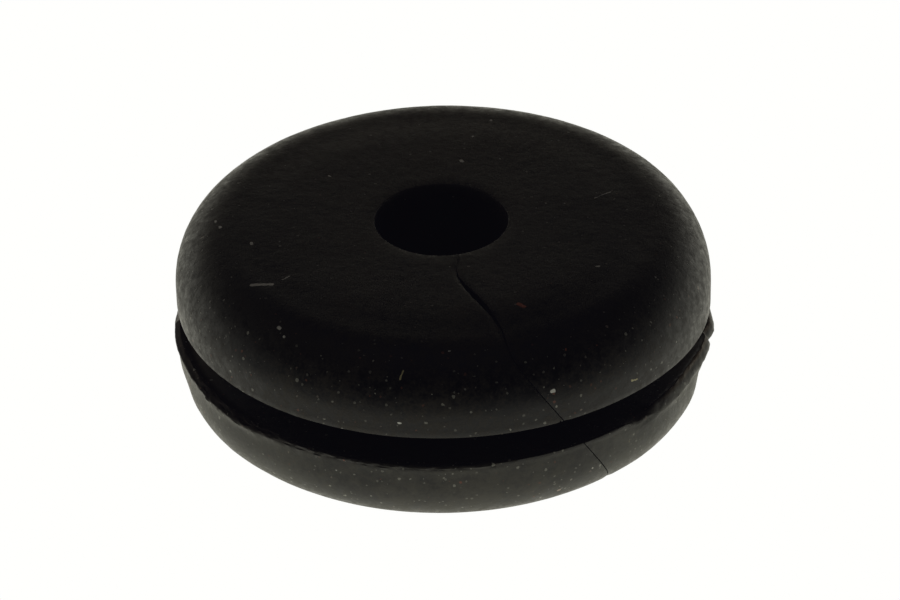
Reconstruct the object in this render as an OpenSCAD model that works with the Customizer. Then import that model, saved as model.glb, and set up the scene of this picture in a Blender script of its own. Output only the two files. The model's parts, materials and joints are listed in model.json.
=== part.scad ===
// Split rubber grommet: one moulded ring with a groove for a sheet-metal panel,
// a straight cable hole with eased mouths, and a knife slit from the hole to the rim.
// Z runs along the hole. The underside of the lower flange lies at z = 0.

/* [Flanges] */
// Outer diameter of both flanges
flange_d = 25.4; // [22:0.1:40]
// Thickness of each flange at its flat face
flange_t = 3.85; // [2.5:0.05:6]
// Rounding of each flange's outer shoulder
shoulder_r = 2.9; // [0.5:0.1:3.5]

/* [Panel groove] */
// Diameter of the neck inside the panel hole
neck_d = 19.05; // [14:0.05:20]
// Width of the groove, the panel's thickness
groove_w = 1.6; // [0.8:0.1:4]

/* [Cable hole] */
// Diameter of the cable hole
bore_d = 6.35; // [3:0.05:10]
// Rounding of the hole's two mouths
mouth_r = 0.45; // [0.1:0.05:1]

/* [Slit] */
// Gap between the slit's two faces
slit_w = 0.14; // [0.06:0.02:0.6]
// Direction of the slit at the upper rim, from +X
slit_angle = -75; // [-180:5:180]
// How far the slit hooks aside where it starts at the hole
slit_hook = 6; // [0:1:12]
// How far the slit slants round the axis on its way down
slit_slant = 27; // [0:1:40]

/* [Moulding flash] */
// How far the flash stands out of the lower flange's upper edge
flash_out = 0.15; // [0.05:0.05:0.3]
// Thickness of the flash
flash_t = 0.2; // [0.1:0.05:0.4]

/* [Hidden] */

$fn = 96;
rubber_black = [0.09, 0.088, 0.083];

flange_r = flange_d / 2;
neck_r = neck_d / 2;
bore_r = bore_d / 2;
total_h = 2 * flange_t + groove_w;
// The shoulder leaves a short upright land beside the groove
land_min = 0.3;
edge_r = min(shoulder_r, flange_t - land_min);
// The slit's blade passes both faces and the rim by this much
overrun = 1;
slit_slices = 12;
// Where the slit's hooked start runs out into its straight stretch
hook_from = bore_r + 2.2;
hook_to = bore_r + 5.4;

// Half of the section: one flange, with its flat face on the X axis
module flange_section() {
    difference() {
        intersection() {
            translate([bore_r, 0]) square([flange_r - bore_r, flange_t]);
            union() {
                square([flange_r - edge_r, flange_t]);
                translate([0, edge_r]) square([flange_r, flange_t]);
                translate([flange_r - edge_r, edge_r]) circle(r = edge_r);
            }
        }
        mouth_relief();
    }
}

// What the eased mouth takes off the corner between the bore and the flat face
module mouth_relief() {
    difference() {
        square([bore_r + mouth_r, mouth_r]);
        translate([bore_r + mouth_r, mouth_r]) circle(r = mouth_r);
    }
}

// The whole section to one side of the axis
module grommet_section() {
    flange_section();
    translate([bore_r, flange_t]) square([neck_r - bore_r, groove_w]);
    translate([0, total_h]) mirror([0, 1]) flange_section();
    translate([flange_r - flash_t, flange_t - flash_t])
        square([flash_t + flash_out, flash_t]);
}

// The plan of the slit, a bent strip from inside the bore to beyond the rim
module slit_plan() {
    half = slit_w / 2;
    tip = flange_r + flash_out + overrun;
    swing = function (r, a, side)
        [r * cos(a) - side * half * sin(a), r * sin(a) + side * half * cos(a)];
    polygon([
        swing(bore_r - overrun, -slit_hook, -1),
        swing(hook_from, -slit_hook, -1),
        swing(hook_to, 0, -1),
        swing(tip, 0, -1),
        swing(tip, 0, 1),
        swing(hook_to, 0, 1),
        swing(hook_from, -slit_hook, 1),
        swing(bore_r - overrun, -slit_hook, 1)
    ]);
}

// The slit turns steadily round the axis between the upper face and the lower one
module slit_blade() {
    turn_per_mm = slit_slant / total_h;
    blade_h = total_h + 2 * overrun;
    rotate([0, 0, slit_angle + slit_slant + turn_per_mm * overrun])
        translate([0, 0, -overrun])
            linear_extrude(blade_h, twist = turn_per_mm * blade_h, slices = slit_slices, $fn = 8)
                slit_plan();
}

module grommet() {
    color(rubber_black)
        difference() {
            rotate_extrude() grommet_section();
            slit_blade();
        }
}

grommet();
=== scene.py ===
"""Looks of the split rubber grommet: one moulded ring with its flash, its slit and its dust.

All lengths are in metres, in the part's frame: Z runs along the cable hole and the underside is at z = 0.
"""

import json
import math
from collections import Counter

import bpy
from mathutils import Matrix, Vector, noise


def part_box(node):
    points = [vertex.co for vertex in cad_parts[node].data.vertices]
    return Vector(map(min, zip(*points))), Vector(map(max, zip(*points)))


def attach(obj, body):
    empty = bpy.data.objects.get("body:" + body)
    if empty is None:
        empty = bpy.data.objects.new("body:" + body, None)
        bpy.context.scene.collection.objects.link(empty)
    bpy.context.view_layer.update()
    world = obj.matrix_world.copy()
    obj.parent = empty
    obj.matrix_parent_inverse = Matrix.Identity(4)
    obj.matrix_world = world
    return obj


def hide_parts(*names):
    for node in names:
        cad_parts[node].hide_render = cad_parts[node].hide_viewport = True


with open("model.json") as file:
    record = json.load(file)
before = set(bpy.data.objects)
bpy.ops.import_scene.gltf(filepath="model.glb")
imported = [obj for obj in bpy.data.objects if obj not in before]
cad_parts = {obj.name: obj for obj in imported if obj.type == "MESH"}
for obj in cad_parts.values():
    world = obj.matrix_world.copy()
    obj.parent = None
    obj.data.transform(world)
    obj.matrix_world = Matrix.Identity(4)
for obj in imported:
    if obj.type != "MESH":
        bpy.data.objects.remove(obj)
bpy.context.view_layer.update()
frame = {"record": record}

MM = 0.001

# The ring's sizes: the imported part's own, and the flash and roundings, which it doesn't state
low_corner, high_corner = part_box("grommet")
mounts = {mount["name"]: mount["dims"] for mount in frame["record"]["mounts"]}
HEIGHT = high_corner.z - low_corner.z
BORE_R = mounts["bore"]["r_mm"] * MM
MOUTH_R = (HEIGHT - mounts["bore"]["length_mm"] * MM) / 2
NECK_R = mounts["panel_groove"]["r_mm"] * MM
GROOVE_W = mounts["panel_groove"]["length_mm"] * MM
FLASH_OUT = 0.15 * MM
FLANGE_R = high_corner.x - FLASH_OUT
GROOVE_FLOOR = (HEIGHT - GROOVE_W) / 2
GROOVE_ROOF = GROOVE_FLOOR + GROOVE_W
SHOULDER_R, FOOT_R = 2.9 * MM, 2.7 * MM
EDGE_R = 0.06 * MM
ROOT_R = 0.2 * MM

# How fine the ring's mesh is: steps round the axis and over its roundings, and how far apart points are
STEPS_ROUND = 640
SHOULDER_STEPS, MOUTH_STEPS = 17, 6
FINE, MEDIUM, COARSE = 0.25 * MM, 0.4 * MM, 0.9 * MM
# Points nearer than this are one
SAME_PLACE = 0.5e-6

# Sections of the lower flange's upper edge, from the groove's floor out over the flash and down to the side.
# Each point is (distance out from the flange, height over the groove's floor), in mm.
FLASH = {
    "plain": [
        (-0.60, 0.0), (-0.46, 0.0), (-0.34, 0.01), (-0.26, 0.03), (-0.18, 0.03), (-0.11, 0.0),
        (-0.05, -0.03), (0.0, -0.07), (0.02, -0.13), (0.02, -0.20), (0.01, -0.28), (0.0, -0.37),
        (0.0, -0.47), (0.0, -0.60),
    ],
    "chamfer": [
        (-0.60, 0.0), (-0.44, 0.0), (-0.34, 0.0), (-0.26, 0.01), (-0.19, 0.05), (-0.13, 0.07),
        (-0.08, 0.03), (-0.03, -0.03), (0.02, -0.08), (0.07, -0.13), (0.11, -0.18), (0.12, -0.27),
        (0.06, -0.41), (0.0, -0.60),
    ],
    "thin": [
        (-0.60, 0.0), (-0.44, 0.0), (-0.34, 0.01), (-0.26, 0.02), (-0.19, 0.04), (-0.13, 0.06),
        (-0.08, 0.07), (-0.03, 0.05), (0.01, 0.01), (0.03, -0.06), (0.0, -0.11), (0.02, -0.18),
        (0.0, -0.30), (0.0, -0.60),
    ],
    "crisp": [
        (-0.60, 0.0), (-0.44, 0.0), (-0.34, 0.01), (-0.26, 0.02), (-0.19, 0.04), (-0.13, 0.06),
        (-0.08, 0.075), (-0.03, 0.07), (0.0, 0.04), (0.005, -0.03), (0.005, -0.11), (-0.01, -0.17),
        (0.0, -0.30), (0.0, -0.60),
    ],
    "torn": [
        (-0.60, 0.0), (-0.50, -0.01), (-0.40, -0.03), (-0.32, -0.05), (-0.25, -0.08), (-0.19, -0.11),
        (-0.13, -0.14), (-0.08, -0.17), (-0.04, -0.20), (-0.01, -0.25), (0.0, -0.30), (0.0, -0.38),
        (0.0, -0.48), (0.0, -0.60),
    ],
    "proud": [
        (-0.60, 0.0), (-0.45, 0.0), (-0.30, 0.02), (-0.20, 0.06), (-0.14, 0.10), (-0.09, 0.10),
        (-0.04, 0.05), (0.02, -0.05), (0.08, -0.15), (0.13, -0.25), (0.17, -0.35), (0.17, -0.43),
        (0.09, -0.51), (0.0, -0.60),
    ],
}

# Which section the flash has round the ring: (azimuth in degrees, section, how much further out in mm, how
# ragged in mm)
FLASH_ROUND = [
    (0, "proud", 0.06, 0.02), (4, "proud", 0.0, 0.02), (12, "plain", 0.0, 0.02),
    (165, "plain", 0.0, 0.02), (178, "chamfer", 0.05, 0.01), (188, "chamfer", 0.03, 0.01),
    (197, "chamfer", -0.05, 0.02), (206, "chamfer", -0.04, 0.05), (224, "chamfer", -0.03, 0.07),
    (236, "thin", 0.0, 0.04), (255, "thin", 0.0, 0.02), (280, "thin", 0.0, 0.02),
    (285, "crisp", 0.0, 0.01), (311, "crisp", 0.0, 0.01), (315, "torn", -0.03, 0.02),
    (318, "torn", -0.06, 0.02), (321, "proud", -0.16, 0.02), (328, "proud", -0.13, 0.03),
    (336, "proud", -0.14, 0.03), (341, "proud", -0.08, 0.03), (344, "proud", 0.01, 0.03),
    (348, "proud", 0.05, 0.02), (350, "proud", 0.03, 0.02), (351.3, "proud", -0.13, 0.01),
    (353, "proud", 0.0, 0.02), (355.5, "proud", 0.13, 0.02), (358, "proud", 0.10, 0.02),
    (360, "proud", 0.06, 0.02),
]

# How ragged flash is nibbled: waves to the mm outwards and upwards, and over how many points, from either end
# of a section, they grow to the full
NIBBLES_OUT, NIBBLES_UP, NIBBLES_GROW = (1.6, 4.1), 2.3, (4, 2)

# The slit's direction at the rim, and how much that turns for each metre down; and the slit itself, as
# (distance from the axis in mm, swing in degrees from that direction, gap in mm)
SLIT_ANGLE = math.radians(-75)
SLIT_SLANT = math.radians(3.0) / MM
SLIT = [
    (2.4, 0.4, 0.012), (3.6, -2.2, 0.012), (4.4, -6.6, 0.014), (5.0, -6.9, 0.08), (5.6, -5.6, 0.16),
    (6.2, -4.1, 0.25), (6.9, -2.5, 0.31), (7.7, -0.9, 0.29), (8.7, 0.2, 0.18), (9.7, 0.4, 0.09),
    (10.5, -0.2, 0.075), (11.5, -1.2, 0.075), (12.4, -1.05, 0.06), (14.0, -0.8, 0.02),
]
# How many steps the blade that cuts the slit turns in, and how far it passes both faces
BLADE_STEPS, BLADE_PAST = 20, 0.5 * MM
# How deep the rubber has sunk at the slit's lips, and how far from the slit it does
LIP_SINK, LIP_REACH = 0.035 * MM, 0.17 * MM
# The chip out of the upper flange's lower edge, beside the slit
CHIP_R, CHIP_TIP_R, CHIP_DEEP = 0.17 * MM, 0.051 * MM, 0.5 * MM
CHIP_TURN, CHIP_RAISED = math.radians(-0.9), 0.01 * MM

# How far the surface strays from true: soft waves as (height, length). They rise from nothing between these
# heights over the underside, and over this distance from the hole.
WAVES = [(0.014 * MM, 4.0 * MM), (0.007 * MM, 1.2 * MM), (0.005 * MM, 0.5 * MM)]
WAVES_ABOVE, WAVES_FROM_HOLE = (0.1 * MM, 1.1 * MM), 2 * MM
# The top's easing into its shoulder: (depth, distance from the axis, reach), and how far down it is felt
EASING, EASING_DOWN = (0.07 * MM, 9.8 * MM, 1.25 * MM), 0.3 * MM
# The slump beside the slit, where the shoulder starts: (depth, azimuth, spread in degrees), its distance from
# the axis and reach, and between which depths under the top it grows to the full
SLUMP, SLUMP_ACROSS = (0.15 * MM, -66, 20), (10.8 * MM, 1.9 * MM)
SLUMP_DOWN = (2 * MM, 0.2 * MM)
# The upper flange's droop, how much of it is left at the top, and how far from the axis it starts; and where
# each flange is wider: (size, azimuth, spread in degrees)
DROOP, DROOP_AT_TOP, DROOP_START = (0.48 * MM, -5, 27), 0.4, NECK_R * 0.6
WIDER_ABOVE = [(0.185 * MM, 33, 46)]
WIDER_BELOW = [(0.06 * MM, 215, 8), (0.06 * MM, 321, 9)]
# Where the lower flange's side is hollow, in the same form, and how far under the groove's floor the hollow
# starts and is at its deepest
HOLLOWS = [(0.25 * MM, 347.5, 5.5), (0.09 * MM, 193, 5.5)]
HOLLOW_DEPTHS = (0.3 * MM, 1.5 * MM)
# How much of the mouth's rounding is left at its front, towards -Y, and at its back
MOUTH_FRONT, MOUTH_BACK = 0.04, 0.22


# ---------------------------------------------------------------- modelling

def start_alone():
    """Leaves edit mode with nothing selected."""
    if bpy.context.mode != "OBJECT":
        bpy.ops.object.mode_set(mode="OBJECT")
    bpy.ops.object.select_all(action="DESELECT")


def pick(piece, wanted, kind="vertices"):
    """Selects, in edit mode, the vertices or edges of a piece for which wanted is true."""
    bpy.ops.object.mode_set(mode="EDIT")
    bpy.ops.mesh.select_mode(type={"vertices": "VERT", "edges": "EDGE"}[kind])
    bpy.ops.mesh.select_all(action="DESELECT")
    bpy.ops.object.mode_set(mode="OBJECT")
    for item in getattr(piece.data, kind):
        item.select = wanted(item)
    bpy.ops.object.mode_set(mode="EDIT")


def trace(name, points):
    """A closed outline, drawn point by point by extruding one vertex."""
    start_alone()
    bpy.ops.mesh.primitive_plane_add(size=MM, location=(0, 0, 0))
    piece = bpy.context.object
    piece.name = piece.data.name = name
    bpy.ops.object.mode_set(mode="EDIT")
    bpy.ops.mesh.select_mode(type="VERT")
    bpy.ops.mesh.merge(type="CENTER")
    place = Vector((0, 0, 0))
    first = Vector(points[0])
    bpy.ops.transform.translate(value=first - place)
    place = first
    for point in points[1:]:
        bpy.ops.mesh.extrude_region_move(
            TRANSFORM_OT_translate={"value": Vector(point) - place}
        )
        place = Vector(point)
    last = len(points) - 1
    pick(piece, lambda v: v.index in (0, last))
    bpy.ops.mesh.edge_face_add()
    return piece


def round_corner(piece, x, z, radius, segments):
    """Rounds the outline's corner at (x, z)."""
    corner = Vector((x, 0, z))
    pick(piece, lambda v: (v.co - corner).length < 10 * SAME_PLACE)
    bpy.ops.mesh.bevel(offset=radius, segments=segments, affect="VERTICES")


def spacing(middle):
    """How far apart the outline's points are, finest where the ring shows most."""
    r, z = middle.x, middle.z
    if r < BORE_R + 0.1 * MM or z < 0.1 * MM:
        return COARSE
    if GROOVE_FLOOR - 0.1 * MM < z < GROOVE_ROOF + 0.1 * MM and r < FLANGE_R - 0.8 * MM:
        return COARSE
    return MEDIUM if z > HEIGHT - 0.1 * MM else FINE


def divide_outline(piece):
    """Cuts the outline's long edges into steps of the wanted spacing."""
    bpy.ops.object.mode_set(mode="OBJECT")
    points = piece.data.vertices
    cuts = {}
    for edge in piece.data.edges:
        a, b = (points[i].co for i in edge.vertices)
        many = math.ceil((b - a).length / spacing((a + b) / 2)) - 1
        if many > 0:
            cuts.setdefault(many, []).append(((a + b) / 2).freeze())
    for many, middles in sorted(cuts.items()):
        def wanted(edge):
            a, b = (piece.data.vertices[i].co for i in edge.vertices)
            return any(((a + b) / 2 - m).length < SAME_PLACE for m in middles)
        pick(piece, wanted, "edges")
        bpy.ops.mesh.subdivide(number_cuts=many)


def flash_point(section, i):
    """Where point i of a flash section is, as (distance from the axis, height)."""
    out, up = FLASH[section][i]
    return FLANGE_R + out * MM, GROOVE_FLOOR + up * MM


def make_ring():
    """The moulded ring: its half section is drawn, its corners are rounded, and it is spun round the hole."""
    flash = [flash_point("plain", i) for i in range(len(FLASH["plain"]))]
    ring = trace("grommet_body", [
        (BORE_R, 0, HEIGHT), (FLANGE_R, 0, HEIGHT), (FLANGE_R, 0, GROOVE_ROOF),
        (NECK_R, 0, GROOVE_ROOF), (NECK_R, 0, GROOVE_FLOOR), *((r, 0, z) for r, z in flash),
        (FLANGE_R, 0, 0), (BORE_R, 0, 0),
    ])
    for z, radius in ((HEIGHT, SHOULDER_R), (0, FOOT_R)):
        round_corner(ring, FLANGE_R, z, radius, SHOULDER_STEPS)
        round_corner(ring, BORE_R, z, MOUTH_R, MOUTH_STEPS)
    round_corner(ring, FLANGE_R, GROOVE_ROOF, EDGE_R, 2)
    for z in (GROOVE_ROOF, GROOVE_FLOOR):
        round_corner(ring, NECK_R, z, ROOT_R, 3)
    divide_outline(ring)
    bpy.ops.object.mode_set(mode="OBJECT")
    turned = ring.modifiers.new("turned", "SCREW")
    turned.steps = turned.render_steps = STEPS_ROUND
    turned.use_merge_vertices, turned.merge_threshold = True, SAME_PLACE
    bpy.ops.object.modifier_apply(modifier=turned.name)
    bpy.ops.object.mode_set(mode="EDIT")
    bpy.ops.mesh.select_all(action="SELECT")
    bpy.ops.mesh.normals_make_consistent(inside=False)
    bpy.ops.object.mode_set(mode="OBJECT")
    return ring


def along_table(table, at):
    """The rows of a table on each side of a place in it, and how far between them the place is."""
    for a, b in zip(table, table[1:]):
        if at <= b[0]:
            return a, b, min(max((at - a[0]) / (b[0] - a[0]), 0.0), 1.0)
    return table[-1], table[-1], 0.0


def slit_azimuth(r, z):
    """The direction in which the slit lies, at a distance from the axis and a height."""
    a, b, t = along_table(SLIT, r / MM)
    return SLIT_ANGLE + math.radians(a[1] + (b[1] - a[1]) * t) + SLIT_SLANT * (HEIGHT - z)


def from_slit(co):
    """How far a point is from the slit's middle, measured round the ring."""
    r = co.xy.length
    turn = math.atan2(co.y, co.x) - slit_azimuth(r, co.z)
    return abs(math.remainder(turn, math.tau)) * r


def flash_shape(azimuth, i, co):
    """Where point i of the flash lies in one direction, ragged where the flash is torn."""
    a, b, t = along_table(FLASH_ROUND, math.degrees(azimuth) % 360)
    (r_a, z_a), (r_b, z_b) = flash_point(a[1], i), flash_point(b[1], i)
    further, ragged = ((a[k] + (b[k] - a[k]) * t) * MM for k in (2, 3))
    inner, outer = NIBBLES_GROW
    share = min(i / inner, (len(FLASH["plain"]) - 1 - i) / outer, 1.0)
    spot = Vector((co.x, co.y, 0.3 * i * MM)) / MM
    nibbled = sum(noise.noise(spot * often) for often in NIBBLES_OUT)
    lifted = noise.noise(spot * NIBBLES_UP + Vector((9, 0, 0)))
    r = r_a + (r_b - r_a) * t + share * (further + ragged * nibbled)
    z = z_a + (z_b - z_a) * t + share * ragged * lifted
    return r, z


def ramp(value, start, end):
    """0 up to start, 1 past end, and straight between them."""
    return min(max((value - start) / (end - start), 0.0), 1.0)


def bell(distance, reach):
    """1 at no distance, falling smoothly to almost nothing past twice the reach."""
    return math.exp(-(distance / reach) ** 2)


def eased(r, z):
    """How far the top's easing into its shoulder lowers a point."""
    depth, where, reach = EASING
    return depth * bell(r - where, reach) * ramp(z, HEIGHT - EASING_DOWN, HEIGHT)


def one_sided(change, azimuth):
    """How much of a change there is in one direction."""
    size, towards, spread = change
    return size * bell(math.degrees(math.remainder(azimuth - math.radians(towards), math.tau)), spread)


def stray(co, normal):
    """Where a point of the true ring lies on the real one."""
    r, azimuth = co.xy.length, math.atan2(co.y, co.x)
    moved = co.copy()
    outside = not GROOVE_FLOOR - SAME_PLACE < co.z < GROOVE_ROOF + SAME_PLACE
    if outside and r > BORE_R + SAME_PLACE:
        push = sum(size * noise.noise(co / length) for size, length in WAVES)
        push *= ramp(co.z, *WAVES_ABOVE) * ramp(r, BORE_R, BORE_R + WAVES_FROM_HOLE)
        lip = LIP_SINK * bell(from_slit(co), LIP_REACH) * ramp(r, BORE_R + MOUTH_R, BORE_R + 2 * MOUTH_R)
        moved += normal * (push - lip)
    if co.z > HEIGHT - MOUTH_R and r < BORE_R + MOUTH_R:
        corner = Vector((BORE_R * math.cos(azimuth), BORE_R * math.sin(azimuth), HEIGHT))
        left = MOUTH_FRONT + (MOUTH_BACK - MOUTH_FRONT) * ((1 + math.sin(azimuth)) / 2) ** 2
        moved = corner + (co - corner) * left
    if co.z > GROOVE_ROOF - SAME_PLACE:
        kept = 1 - (1 - DROOP_AT_TOP) * ramp(co.z, GROOVE_ROOF, HEIGHT)
        moved.z -= one_sided(DROOP, azimuth) * kept * ramp(r, DROOP_START, FLANGE_R) ** 2
        moved.z -= eased(r, co.z)
        where, reach = SLUMP_ACROSS
        start, full = (HEIGHT - depth for depth in SLUMP_DOWN)
        moved.z -= one_sided(SLUMP, azimuth) * bell(r - where, reach) * ramp(co.z, start, full)
    return moved


def widened(co):
    """A point after its flange has been made wider."""
    r, azimuth = co.xy.length, math.atan2(co.y, co.x)
    changes = WIDER_ABOVE if co.z > GROOVE_FLOOR + GROOVE_W / 2 else WIDER_BELOW
    out = sum(one_sided(change, azimuth) for change in changes)
    hollow = sum(one_sided(change, azimuth) for change in HOLLOWS)
    out -= hollow * ramp(GROOVE_FLOOR - co.z, *HOLLOW_DEPTHS)
    wider = 1 + out * ramp(r, NECK_R, FLANGE_R) / FLANGE_R
    return Vector((co.x * wider, co.y * wider, co.z))


def roughen(ring):
    """Moves the true ring's points to where moulding, tearing and wear have left them."""
    flash = {}
    for i in range(len(FLASH["plain"])):
        r, z = flash_point("plain", i)
        flash[round(r / MM, 3), round(z / MM, 3)] = i
    moved = []
    for vertex in ring.data.vertices:
        co = vertex.co.copy()
        i = flash.get((round(co.xy.length / MM, 3), round(co.z / MM, 3)))
        if i is None:
            moved.append(stray(co, vertex.normal))
            continue
        azimuth = math.atan2(co.y, co.x)
        r, z = flash_shape(azimuth, i, co)
        moved.append(Vector((r * math.cos(azimuth), r * math.sin(azimuth), z)))
    for vertex, co in zip(ring.data.vertices, moved):
        vertex.co = widened(co)
    ring.data.update()


def make_blade():
    """The slit's shape: a thin crooked strip that turns round the axis on its way down."""
    def side(sign):
        points = []
        for distance, swing, gap in SLIT:
            angle = SLIT_ANGLE + math.radians(swing)
            along = Vector((math.cos(angle), math.sin(angle), 0))
            across = Vector((-along.y, along.x, 0))
            points.append(along * distance * MM + across * sign * gap / 2 * MM)
        return points
    plan = side(-1) + side(1)[::-1]
    top = HEIGHT + BLADE_PAST
    blade = trace("slit_blade", [(p.x, p.y, top) for p in plan])
    bpy.ops.mesh.select_all(action="SELECT")
    bpy.ops.mesh.edge_face_add()
    turn_round_axis(-SLIT_SLANT * BLADE_PAST)
    drop = (HEIGHT + 2 * BLADE_PAST) / BLADE_STEPS
    for _ in range(BLADE_STEPS):
        bpy.ops.mesh.extrude_region_move(TRANSFORM_OT_translate={"value": (0, 0, -drop)})
        turn_round_axis(SLIT_SLANT * drop)
    bpy.ops.mesh.select_all(action="SELECT")
    bpy.ops.mesh.quads_convert_to_tris()
    bpy.ops.mesh.normals_make_consistent(inside=False)
    bpy.ops.object.mode_set(mode="OBJECT")
    return blade


def turn_round_axis(angle):
    """Turns what is selected round Z, anticlockwise from above."""
    bpy.ops.transform.rotate(
        value=-angle, orient_axis="Z", orient_type="GLOBAL", center_override=(0, 0, 0)
    )


def make_chip():
    """The shape of the small piece that broke out where the slit meets the rim."""
    start_alone()
    azimuth = slit_azimuth(FLANGE_R, GROOVE_ROOF) + CHIP_TURN
    bpy.ops.mesh.primitive_cone_add(
        vertices=3, radius1=CHIP_R, radius2=CHIP_TIP_R, depth=CHIP_DEEP,
        location=(FLANGE_R * math.cos(azimuth), FLANGE_R * math.sin(azimuth), GROOVE_ROOF + CHIP_RAISED),
        rotation=(math.pi / 2, 0, azimuth - math.pi / 2),
    )
    return bpy.context.object


def cut(piece, cutter):
    """Takes the cutter's shape out of a piece."""
    start_alone()
    bpy.context.view_layer.objects.active = piece
    piece.select_set(True)
    modifier = piece.modifiers.new("cut", "BOOLEAN")
    modifier.operation, modifier.solver, modifier.object = "DIFFERENCE", "EXACT", cutter
    bpy.ops.object.modifier_apply(modifier=modifier.name)
    bpy.data.objects.remove(cutter)


def drop_folded_faces(piece):
    """Takes away what cutting leaves on a piece: two faces back to back, and faces that hang by an edge."""
    start_alone()
    bpy.context.view_layer.objects.active = piece
    piece.select_set(True)
    bpy.ops.object.mode_set(mode="EDIT")
    bpy.ops.mesh.select_all(action="SELECT")
    bpy.ops.mesh.remove_doubles(threshold=SAME_PLACE)
    bpy.ops.mesh.quads_convert_to_tris()
    bpy.ops.mesh.select_mode(type="FACE")
    bpy.ops.mesh.select_all(action="DESELECT")
    bpy.ops.object.mode_set(mode="OBJECT")
    faces = piece.data.polygons
    on_corners = Counter(frozenset(face.vertices) for face in faces)
    on_edge = Counter(edge for face in faces for edge in face.edge_keys)
    for face in faces:
        folded = on_corners[frozenset(face.vertices)] > 1
        hanging = any(on_edge[edge] == 1 for edge in face.edge_keys)
        face.select = folded or hanging
    bpy.ops.object.mode_set(mode="EDIT")
    bpy.ops.mesh.delete(type="FACE")
    bpy.ops.mesh.select_all(action="SELECT")
    bpy.ops.mesh.delete_loose()
    bpy.ops.object.mode_set(mode="OBJECT")


# ---------------------------------------------------------------- finish

class Nodes:
    """Adds nodes to one shader tree, each with its settings and its inputs."""

    def __init__(self, tree):
        self.tree = tree

    def add(self, kind, inputs=None, **settings):
        """A node of the given kind. An input is a value, or another node's output to be joined to it."""
        made = self.tree.nodes.new(kind)
        for name, value in settings.items():
            setattr(made, name, value)
        for name, value in (inputs or {}).items():
            if isinstance(value, bpy.types.NodeSocket):
                self.tree.links.new(value, made.inputs[name])
            else:
                made.inputs[name].default_value = value
        return made

    def maths(self, operation, a, b=0.0, clamp=False):
        """One sum on numbers."""
        return self.add("ShaderNodeMath", {0: a, 1: b}, operation=operation, use_clamp=clamp).outputs[0]

    def product(self, first, *others):
        """All the numbers multiplied together."""
        for other in others:
            first = self.maths("MULTIPLY", first, other)
        return first

    def total(self, first, *others):
        """All the numbers added up."""
        for other in others:
            first = self.maths("ADD", first, other)
        return first

    def vector(self, operation, *values):
        """One sum on places."""
        made = self.add("ShaderNodeVectorMath", dict(enumerate(values)), operation=operation)
        return made.outputs["Vector"]

    def length(self, place):
        """How far a place is from the middle."""
        return self.add("ShaderNodeVectorMath", {0: place}, operation="LENGTH").outputs["Value"]

    def noise(self, place, size, detail=2.0, roughness=0.5):
        """Noise whose blots are about size across, from 0 to 1."""
        values = {"Vector": place, "Scale": 1 / size, "Detail": detail, "Roughness": roughness}
        return self.add("ShaderNodeTexNoise", values).outputs["Fac"]

    def between(self, value, start, end, low=0.0, high=1.0):
        """low at start and high at end, straight between them."""
        values = {"Value": value, "From Min": start, "From Max": end, "To Min": low, "To Max": high}
        return self.add("ShaderNodeMapRange", values).outputs["Result"]

    def blend(self, share, a, b):
        """Colour a where share is 0 and colour b where it is 1."""
        made = self.add("ShaderNodeMix", data_type="RGBA")
        factor, first, second = (made.inputs[i] for i in (0, 6, 7))
        for socket, value in ((factor, share), (first, a), (second, b)):
            if isinstance(value, bpy.types.NodeSocket):
                self.tree.links.new(value, socket)
            else:
                socket.default_value = value if isinstance(value, float) else (*value, 1)
        return made.outputs[2]

    def stops(self, at, table):
        """A colour that follows a table of (place from 0 to 1, colour)."""
        made = self.add("ShaderNodeValToRGB", {"Fac": at})
        held = made.color_ramp.elements
        while len(held) < len(table):
            held.new(0.5)
        for stop, (position, colour) in zip(held, table):
            stop.position, stop.color = position, (*colour, 1)
        return made.outputs["Color"]


def new_material(name):
    """An empty material, and the tool that adds nodes to it."""
    material = bpy.data.materials.new(name)
    material.use_nodes = True
    material.node_tree.nodes.clear()
    return material, Nodes(material.node_tree)


# Colours of the rubber, of what lies on it, and of the light and shade painted on it
SOOT, COAL = (0.0008, 0.0008, 0.0010), (0.0185, 0.0142, 0.0078)
GRIT_GREY = (0.027, 0.0225, 0.0165)
# A pale bloom of dust, which also carries the painted light of the table on the lower flange's side
BLOOM_AND_PAINTED_LIGHT = (0.092, 0.093, 0.083)
# Painted light on the groove's floor, towards the sides
GROOVE_PAINTED_LIGHT = (0.120, 0.082, 0.050)
TORN_BROWN = (0.0060, 0.0032, 0.0020)
OIL = (0.001, 0.001, 0.0014)
PALE_DUST, RED_DUST = (0.34, 0.34, 0.31), (0.20, 0.07, 0.045)
LINT_WHITE, LINT_YELLOW, GRIT_RED = (0.75, 0.76, 0.74), (0.42, 0.38, 0.22), (0.42, 0.13, 0.08)
# A faint cold glow painted over all the rubber, standing in for the scattered light that lifts even the
# deepest black
PAINTED_GLOW, PAINTED_GLOW_LEVEL = (0.70, 0.66, 1.0, 1.0), 0.0026

# Sizes of the rubber's patterns, and how far the edges of marks and specks wander, over what length
BLOT, MOTTLE, GRAIN = 3.2 * MM, 0.42 * MM, 0.13 * MM
WANDER, WANDER_LENGTH = 0.09 * MM, 0.16 * MM
# How much each pattern counts in the tone, and the tones at which the rubber is all soot and all coal
TONE_SHARES, TONE_ENDS = (0.4, 0.3, 0.3), (0.40, 0.64)
# The height of the grain and mottle, and how matt the rubber is
RELIEF, GRAIN_IN_RELIEF = 0.014 * MM, 0.5
MATT, TORN_MATT = (0.32, 0.60), 0.95
REFRACTION, SHEEN, SHEEN_MATT = 1.32, 0.015, 0.3
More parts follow.
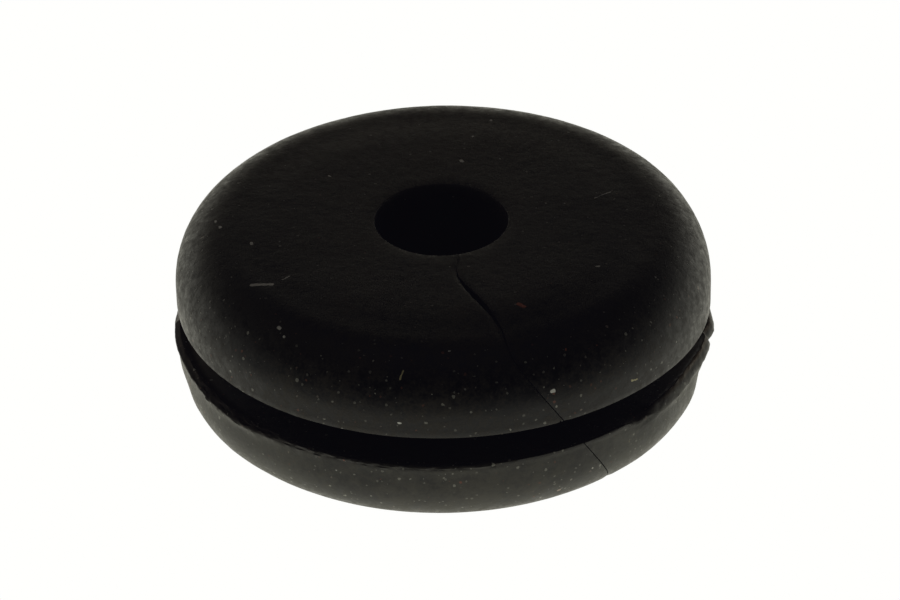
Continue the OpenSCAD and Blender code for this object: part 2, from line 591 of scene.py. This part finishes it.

# Fades over the ring: (where it starts, where it ends, its value at the start, its value at the end)
# The next two are painted shade and light: the tone darker to the sides, and paler towards the bright back
PAINTED_SHADE_BESIDE = (2.5 * MM, 9 * MM, 0.0, 0.10)
PAINTED_LIGHT_BEHIND = (-3 * MM, 11 * MM, -0.03, 0.16)
GRIT_IN_FRONT = (2 * MM, -9 * MM, 0.45, 1.0)
GRIT_BELOW_TOP = (HEIGHT - 0.5 * MM, HEIGHT - 2.2 * MM, 0.4, 1.0)
# Painted sheen: the lower flange's bloom grows towards the sides
PAINTED_SHEEN_AT_SIDES = (6 * MM, 11.5 * MM, 0.42, 1.0)
SPECKS_AT_RIM = (10.3 * MM, 12.2 * MM, 0.22, 0.9)
SPECKS_IN_FRONT = (6 * MM, -4 * MM, 0.5, 1.0)

# How brown and rough the flash is round the ring: (azimuth in degrees, share)
TORN_ROUND = [
    (-180, 0.9), (-135, 1.0), (-116, 0.4), (-76, 0.3), (-70, 0.12), (-49, 0.12), (-44, 0.9), (-39, 0.35),
    (-22, 0.35), (-8, 0.6), (10, 0.6), (60, 0.3),
]

# Specks of dust, in sizes: (distance between them in mm, largest radius in mm, how well they cover the black)
SPECKS = [(0.24, 0.070, 0.26), (0.42, 0.090, 0.45), (0.75, 0.10, 0.6), (1.8, 0.12, 0.9)]
# A speck is pale if its own random number is under the first of these, and red if it is over the second. The
# higher the power, the fewer of the specks are large.
PALE_SHARE, FEW_LARGE = (0.78, 0.86), 2.4

# How far down from the top a mark is laid on the surface, and how well stains and lint cover the rubber
MARKED_DOWN, STAIN_COVER, LINT_COVER = 1.3 * MM, 0.8, 0.85
# What lies on the ring: (start, end, width), in mm; and the oily stains, in the same form
WHITE_MARKS = [
    ((-8.84, -5.32, 9.2), (-7.91, -5.33, 9.2), 0.10), ((-7.45, -5.0, 9.2), (-7.1, -4.7, 9.2), 0.035),
    ((-7.55, -8.43, 8.8), (-7.5, -8.5, 8.8), 0.08), ((-7.31, -8.95, 8.6), (-7.29, -8.97, 8.6), 0.06),
    ((-8.96, -1.71, 9.2), (-8.93, -1.8, 9.2), 0.08), ((-10.5, -0.1, 9.1), (-10.45, -0.2, 9.1), 0.08),
    ((-10.7, 0.4, 9.0), (-10.72, 0.5, 9.0), 0.06), ((-5.36, 4.16, 9.25), (-5.3, 4.1, 9.25), 0.05),
    ((1.0, 5.36, 9.25), (1.05, 5.3, 9.25), 0.10), ((1.6, 7.6, 9.2), (1.62, 7.65, 9.2), 0.05),
    ((2.5, 9.2, 9.1), (2.52, 9.25, 9.1), 0.06), ((7.3, 1.7, 9.2), (8.1, 2.3, 9.2), 0.022),
    ((7.2, -4.3, 9.2), (7.3, -4.3, 9.2), 0.06), ((9.9, -4.8, 8.9), (9.95, -4.85, 8.9), 0.06),
    ((4.9, -11.6, 7.2), (5.0, -11.55, 7.2), 0.09), ((-2.1, -12.5, 6.25), (-2.0, -12.5, 6.25), 0.06),
    ((0.24, -10.9, 8.9), (0.3, -10.9, 8.9), 0.06), ((5.9, -11.0, 2.0), (5.95, -11.0, 2.0), 0.07),
    ((0.65, -12.6, 2.7), (0.7, -12.6, 2.7), 0.06), ((-5.0, -11.6, 3.1), (-4.95, -11.6, 3.1), 0.06),
]
YELLOW_MARKS = [
    ((8.64, -9.31, 6.2), (8.88, -9.08, 6.1), 0.05), ((8.5, -9.35, 2.9), (8.52, -9.32, 2.6), 0.07),
    ((-2.0, -11.9, 8.1), (-1.85, -11.65, 8.35), 0.035),
]
RED_MARKS = [
    ((3.5, -7.4, 9.2), (3.72, -7.6, 9.2), 0.12), ((5.6, -10.2, 8.5), (5.6, -10.25, 8.5), 0.07),
    ((-3.0, -12.25, 3.0), (-2.9, -12.27, 3.0), 0.08),
]
STAINS = [
    ((1.45, -8.1, 9.2), (1.65, -8.3, 9.2), 0.16), ((5.1, -7.75, 9.2), (5.3, -7.8, 9.2), 0.14),
    ((0.7, -4.1, 9.2), (0.5, -4.5, 9.2), 0.10), ((-4.8, -6.0, 9.2), (-3.1, -8.6, 9.2), 0.05),
]


def on_top(point):
    """A mark's point in metres, and on the surface if it lies on the top or high on the shoulder."""
    co = Vector(point) * MM
    r = co.xy.length
    if co.z > HEIGHT - MARKED_DOWN:
        past_flat = max(r - (FLANGE_R - SHOULDER_R), 0.0)
        co.z = HEIGHT - SHOULDER_R + math.sqrt(SHOULDER_R ** 2 - past_flat ** 2)
        co.z -= eased(r, co.z)
    return co


def marks(n, place, rows):
    """1 on a list of short marks and 0 off them, each mark a ragged line from its start to its end."""
    total = 0.0
    for start, end, width in rows:
        a, b = on_top(start), on_top(end)
        along = b - a
        from_start = n.vector("SUBTRACT", place, a)
        t = n.add("ShaderNodeVectorMath", {0: from_start, 1: along / along.length_squared},
                  operation="DOT_PRODUCT").outputs["Value"]
        reach = n.add("ShaderNodeVectorMath", {0: along, "Scale": n.maths("ADD", t, 0.0, True)},
                      operation="SCALE").outputs["Vector"]
        away = n.add("ShaderNodeVectorMath", {0: from_start, 1: reach}, operation="DISTANCE").outputs["Value"]
        mark = n.between(away, width * 1.15 * MM, width * 0.7 * MM)
        total = n.maths("MAXIMUM", mark, total)
    return total


def specks(n, place, cell, radius, chance):
    """Round specks up to radius across, about one to a cell of the given size where chance is 1."""
    cells = n.add("ShaderNodeTexVoronoi", {"Vector": place, "Scale": 1 / cell})
    pick_one = n.add("ShaderNodeSeparateColor", {"Color": cells.outputs["Color"]})
    size = n.product(n.maths("POWER", pick_one.outputs["Red"], FEW_LARGE), radius / cell)
    near = n.maths("LESS_THAN", cells.outputs["Distance"], size)
    shown = n.maths("LESS_THAN", pick_one.outputs["Green"], chance)
    return n.product(near, shown), pick_one.outputs["Blue"]


class Surface:
    """Places on the ring and the patterns that run over it, which every layer of its colour reads."""

    def __init__(self, n):
        self.place = n.add("ShaderNodeTexCoord").outputs["Object"]
        axes = n.add("ShaderNodeSeparateXYZ", {"Vector": self.place}).outputs
        self.x, self.y, self.z = axes["X"], axes["Y"], axes["Z"]
        self.aside = n.maths("ABSOLUTE", self.x)
        self.from_axis = n.length(n.vector("MULTIPLY", self.place, (1, 1, 0)))
        self.azimuth = n.maths("ARCTAN2", self.y, self.x)
        wander = {"Vector": self.place, "Scale": 1 / WANDER_LENGTH, "Detail": 1.0}
        wander = n.add("ShaderNodeTexNoise", wander).outputs["Color"]
        moved = n.vector("MULTIPLY_ADD", wander, (WANDER,) * 3, self.place)
        self.ragged = n.vector("SUBTRACT", moved, (WANDER / 2,) * 3)
        self.blots = n.noise(self.place, BLOT, 3)
        self.mottle = n.noise(self.place, MOTTLE, 2, 0.6)
        self.grain = n.noise(self.place, GRAIN, 3, 0.7)


def black_with_painted_light_and_shade(n, on):
    """The black, with painted shade beside the hole and painted light behind it, and grey grit ground into
    its front.
    """
    patterns = zip((on.blots, on.mottle, on.grain), TONE_SHARES)
    tone = n.total(*(n.product(pattern, share) for pattern, share in patterns))
    # Painted shade darkens the tone beside the hole, and painted light makes it paler behind
    shade_beside = n.between(n.maths("ABSOLUTE", n.total(on.x, 1.0 * MM)), *PAINTED_SHADE_BESIDE)
    light_behind = n.between(on.y, *PAINTED_LIGHT_BEHIND)
    tone = n.total(n.maths("SUBTRACT", tone, shade_beside), light_behind)
    colour = n.blend(n.between(tone, *TONE_ENDS), SOOT, COAL)
    dusty = n.product(n.between(on.z, *GRIT_BELOW_TOP), n.between(on.y, *GRIT_IN_FRONT))
    dusty = n.product(dusty, n.between(on.blots, 0.3, 0.7, 0.5, 1.0))
    grit = n.between(n.total(on.grain, n.product(on.mottle, 0.6)), 0.72, 1.16)
    return n.blend(n.product(grit, dusty), colour, GRIT_GREY)


def low_colour(n, on, colour):
    """Adds the lower flange's bloom with painted light and, at its sides, painted sheen; and painted light on
    the groove's floor.
    """
    on_side = n.between(on.from_axis, FLANGE_R - 2.2 * MM, FLANGE_R - 0.6 * MM)
    low_down = n.product(n.between(on.z, GROOVE_FLOOR + 0.1 * MM, GROOVE_FLOOR - 0.2 * MM), on_side)
    # The bloom is partly dust and partly painted light, and towards the sides painted sheen
    bloom_and_light = n.product(low_down, n.between(n.total(on.mottle, on.blots), 0.78, 1.2, 0.3, 1.0))
    colour = n.blend(n.product(bloom_and_light, n.between(on.aside, *PAINTED_SHEEN_AT_SIDES)), colour, BLOOM_AND_PAINTED_LIGHT)
    # Painted light on the groove's floor, growing towards the sides
    floor = n.product(n.between(on.z, GROOVE_FLOOR - 0.1 * MM, GROOVE_FLOOR),
                      n.between(on.z, GROOVE_FLOOR + 0.5 * MM, GROOVE_FLOOR + 0.2 * MM))
    return n.blend(n.product(floor, n.between(on.aside, 10.0 * MM, 12.0 * MM)), colour, GROOVE_PAINTED_LIGHT)


def torn_share(n, on):
    """How torn the flash is: 1 where it is brown and rough, and 0 off the flash."""
    edge = n.product(n.between(on.z, GROOVE_FLOOR - 0.34 * MM, GROOVE_FLOOR - 0.16 * MM),
                     n.between(on.from_axis, FLANGE_R - 1.0 * MM, FLANGE_R - 0.4 * MM))
    edge = n.product(edge, n.between(on.z, GROOVE_FLOOR + 0.4 * MM, GROOVE_FLOOR + 0.2 * MM))
    round_ring = n.stops(n.between(on.azimuth, -math.pi, math.pi), [
        ((degrees + 180) / 360, (share,) * 3) for degrees, share in TORN_ROUND
    ])
    return n.product(edge, round_ring)


def dusted(n, on, colour):
    """Adds the specks of dust, the oily stains, and the fibres and crumbs that stick to the ring."""
    shown = n.product(n.between(on.from_axis, *SPECKS_AT_RIM), n.between(on.y, *SPECKS_IN_FRONT))
    for cell, radius, strength in SPECKS:
        speck, hue = specks(n, on.ragged, cell * MM, radius * MM, shown)
        dust = n.blend(n.between(hue, *PALE_SHARE), PALE_DUST, RED_DUST)
        colour = n.blend(n.product(speck, strength), colour, dust)
    lying = [(STAINS, OIL, STAIN_COVER), (WHITE_MARKS, LINT_WHITE, LINT_COVER),
             (YELLOW_MARKS, LINT_YELLOW, LINT_COVER), (RED_MARKS, GRIT_RED, LINT_COVER)]
    for rows, shade, cover in lying:
        colour = n.blend(n.product(marks(n, on.ragged, rows), cover), colour, shade)
    return colour


def rubber():
    """Black moulded rubber, matt and faintly mottled, with painted shade, light and glow, a pale bloom low
    down, and dust on it.
    """
    material, n = new_material("black_rubber")
    on = Surface(n)
    torn = torn_share(n, on)
    colour = n.blend(torn, low_colour(n, on, black_with_painted_light_and_shade(n, on)), TORN_BROWN)
    patchy = n.total(n.product(on.grain, 0.8), n.total(on.mottle, n.product(on.blots, 0.5)))
    shader = n.add("ShaderNodeBsdfPrincipled", {
        "Base Color": dusted(n, on, colour),
        "Roughness": n.maths("MAXIMUM", n.between(patchy, 0.90, 1.40, *MATT), n.product(torn, TORN_MATT)),
        "IOR": REFRACTION, "Sheen Weight": SHEEN, "Sheen Roughness": SHEEN_MATT,
        # A faint painted glow over all the rubber, standing in for scattered light
        "Emission Color": PAINTED_GLOW, "Emission Strength": PAINTED_GLOW_LEVEL,
    })
    height = n.total(n.product(on.grain, GRAIN_IN_RELIEF), on.mottle)
    bump = n.add("ShaderNodeBump", {"Height": height, "Distance": RELIEF, "Strength": 1.0})
    n.tree.links.new(bump.outputs["Normal"], shader.inputs["Normal"])
    n.add("ShaderNodeOutputMaterial", {"Surface": shader.outputs[0]})
    return material


def give(piece, material):
    piece.data.materials.clear()
    piece.data.materials.append(material)


# ---------------------------------------------------------------- studio

# The table's light, as the ring gets it and as the eye does
TABLE_LIGHT, EYE_WHITE = (1.0, 0.985, 0.84), (1.0, 1.0, 0.985)
# How far from the axis the lit pool starts to fade and is at its dimmest, how much of it is left there, and
# the stretch of Y over which that comes in, towards the front
POOL_EDGES, POOL_LEFT, POOL_FRONT = (16 * MM, 46 * MM), 0.18, (10 * MM, -10 * MM)
# How far from the axis the dark under the ring ends, and the pool is fully lit
SHADE = (FLANGE_R - 4.2 * MM, FLANGE_R - 2.3 * MM)
TABLE_SIZE = 6.0


def make_floor():
    """A pale lit table top with no edge in view. The ring sees it dim in front, and dark under itself."""
    start_alone()
    bpy.ops.mesh.primitive_plane_add(size=TABLE_SIZE, location=(0, 0, 0))
    floor = bpy.context.object
    floor.name = "floor"
    material, n = new_material("pale_table")
    place = n.add("ShaderNodeTexCoord").outputs["Object"]
    from_axis = n.length(place)
    ahead = n.add("ShaderNodeSeparateXYZ", {"Vector": place}).outputs["Y"]
    lit = n.between(from_axis, *SHADE)
    far_front = n.product(n.between(from_axis, *POOL_EDGES), n.between(ahead, *POOL_FRONT))
    pool = n.product(n.between(far_front, 0.0, 1.0, 1.0, POOL_LEFT), lit)
    seen = n.add("ShaderNodeLightPath").outputs["Is Camera Ray"]
    shader = n.add("ShaderNodeEmission", {
        "Color": n.blend(seen, TABLE_LIGHT, EYE_WHITE),
        "Strength": n.maths("MAXIMUM", pool, n.product(seen, lit)),
    })
    n.add("ShaderNodeOutputMaterial", {"Surface": shader.outputs[0]})
    give(floor, material)


# The soft light round the table: (height over the horizon in degrees, colour)
SKY = [
    (-90, (1, 0.98, 0.86)), (3, (1, 0.98, 0.86)), (7, (0.70, 0.66, 0.56)), (13, (0.35, 0.300, 0.190)),
    (24, (0.021, 0.017, 0.009)), (36, (0.009, 0.009, 0.010)), (60, (0.028, 0.028, 0.036)),
    (90, (0.060, 0.060, 0.080)),
]
# How much of that light is left towards -Y and to the sides, at and under the second of these heights in
# degrees. Over the first it is the same all round.
FRONT_SHARE, SIDE_SHARE, ROUND_ENDS = 0.12, 0.5, (60, 40)
# How much of it is left to the left and to the right, over the horizon's own glow, and the side walls' glow
# high up. Turns and heights are given by the X and Z of a line one long.
LEFT_SHARE, RIGHT_SHARE = 0.7, 0.35
LEFT_TURN, RIGHT_TURN, GLOW_TOP = (-0.2, -0.5), (0.15, 0.45), (0.05, 0.2)
WING_LIGHT, WING_OUT, WING_UP = (0.165, 0.140, 0.100), (0.2, 0.55), (0.45, 0.62)


def light_room():
    """Bright behind the table, and dim at the front and overhead. The eye sees only white past the table."""
    world = bpy.data.worlds.new("room")
    bpy.context.scene.world = world
    world.use_nodes = True
    world.node_tree.nodes.clear()
    n = Nodes(world.node_tree)
    direction = n.add("ShaderNodeTexCoord").outputs["Generated"]
    axes = n.add("ShaderNodeSeparateXYZ", {"Vector": direction}).outputs
    x, y, z = axes["X"], axes["Y"], axes["Z"]
    sky = n.stops(n.between(z, -1.0, 1.0), [
        ((math.sin(math.radians(height)) + 1) / 2, colour) for height, colour in SKY
    ])
    wing = n.product(n.between(n.maths("ABSOLUTE", x), *WING_OUT), n.between(z, *WING_UP))
    sky = n.blend(wing, sky, WING_LIGHT)
    back_half = n.between(y, 0.0, 0.8, SIDE_SHARE, 1.0)
    front_half = n.between(y, 0.0, -0.6, 1.0, FRONT_SHARE / SIDE_SHARE)
    low = n.between(z, *(math.sin(math.radians(height)) for height in ROUND_ENDS))
    share = n.between(low, 0.0, 1.0, 1.0, n.product(back_half, front_half))
    sides = n.product(n.between(x, *LEFT_TURN, 1.0, LEFT_SHARE), n.between(x, *RIGHT_TURN, 1.0, RIGHT_SHARE))
    share = n.product(share, n.between(n.between(z, *GLOW_TOP), 0.0, 1.0, 1.0, sides))
    lamp = n.add("ShaderNodeBackground", {"Color": sky, "Strength": share})
    white = n.add("ShaderNodeBackground", {"Color": (*EYE_WHITE, 1), "Strength": 1.0})
    seen = n.add("ShaderNodeLightPath").outputs["Is Camera Ray"]
    both = n.add("ShaderNodeMixShader", {0: seen, 1: lamp.outputs[0], 2: white.outputs[0]})
    n.add("ShaderNodeOutputWorld", {"Surface": both.outputs[0]})


# The camera: its height over the horizon, its roll, its lens in mm, how far it is from a point inside the
# ring, and how far to the right of and above that point it aims
CAMERA_HEIGHT, CAMERA_ROLL = math.radians(33.03), 0.016
CAMERA_LENS, SENSOR_WIDTH = 192.1, 36
CAMERA_AWAY, CAMERA_ROUND = 230.2 * MM, Vector((0, 0, 4 * MM))
CAMERA_AIM = (0.35 * MM, 0.64 * MM)
CAMERA_CLIP = (1 * MM, 10)
# Faces that meet at less than this are shaded as one
SMOOTH_BELOW = math.radians(35)


def place_camera():
    """Puts the camera in front of the ring, looking down at it."""
    camera = bpy.data.objects.new("camera", bpy.data.cameras.new("camera"))
    bpy.context.scene.collection.objects.link(camera)
    back = Vector((0, -math.cos(CAMERA_HEIGHT), math.sin(CAMERA_HEIGHT)))
    right, up = Vector((1, 0, 0)), Vector((0, math.sin(CAMERA_HEIGHT), math.cos(CAMERA_HEIGHT)))
    camera.location = CAMERA_ROUND + back * CAMERA_AWAY
    aim = CAMERA_ROUND + right * CAMERA_AIM[0] + up * CAMERA_AIM[1]
    turned = (aim - camera.location).to_track_quat("-Z", "Y").to_matrix()
    camera.rotation_euler = (turned @ Matrix.Rotation(-CAMERA_ROLL, 3, "Z")).to_euler()
    camera.data.lens, camera.data.sensor_width = CAMERA_LENS, SENSOR_WIDTH
    camera.data.clip_start, camera.data.clip_end = CAMERA_CLIP
    bpy.context.scene.camera = camera


body = make_ring()
roughen(body)
cut(body, make_blade())
cut(body, make_chip())
drop_folded_faces(body)
start_alone()
bpy.context.view_layer.objects.active = body
body.select_set(True)
bpy.ops.object.shade_smooth_by_angle(angle=SMOOTH_BELOW)
give(body, rubber())
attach(body, "root")
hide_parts("grommet")

make_floor()
light_room()
place_camera()
bpy.context.scene.view_settings.view_transform = "Standard"
